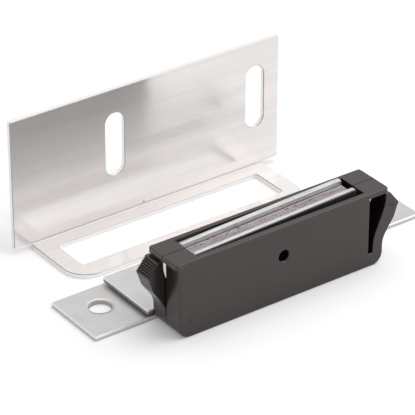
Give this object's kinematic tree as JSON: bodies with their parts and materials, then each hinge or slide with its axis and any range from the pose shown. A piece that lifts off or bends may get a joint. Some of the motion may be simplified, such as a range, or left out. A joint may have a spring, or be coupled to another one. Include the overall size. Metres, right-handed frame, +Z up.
{
  "type": "magnetic door catch",
  "caption": "Magnetic door catch: snap-in housing with rocking magnet, folded bracket with matching cut-out, and layered steel strike for the door.",
  "frame": {"origin": "on the table, at the middle of the set's box", "axes": "+X along the housing's length, +Y from the housing to the bracket's flange, +Z up from the table"},
  "size_m": [0.123, 0.0716, 0.046],
  "materials": {
    "stainless_sheet": "lightly brushed stainless sheet",
    "black_plastic": "moulded black plastic with a soft gloss",
    "plated_steel": "bright zinc plated, rolled surface",
    "ferrite": "rough sintered ferrite",
    "strike_steel": "satin steel with darker sheared edges"
  },
  "bodies": {
    "catch_set": {"mounting_bracket": "stainless_sheet", "front_shell": "black_plastic", "rear_shell": "black_plastic", "strike_base": "strike_steel", "armature_plate": "strike_steel", "left_rivet": "strike_steel", "right_rivet": "strike_steel", "left_spacer": "strike_steel", "right_spacer": "strike_steel"},
    "magnet_assembly": {"front_pole_plate": "plated_steel", "rear_pole_plate": "plated_steel", "magnet": "ferrite"}
  },
  "joints": [
    {"name": "magnet_rock", "type": "hinge", "parent": "catch_set", "child": "magnet_assembly", "pos_m": [-0.0031, -0.02865, 0.0156], "axis": [0, 1, 0], "range_deg": [0, 3.8]}
  ]
}
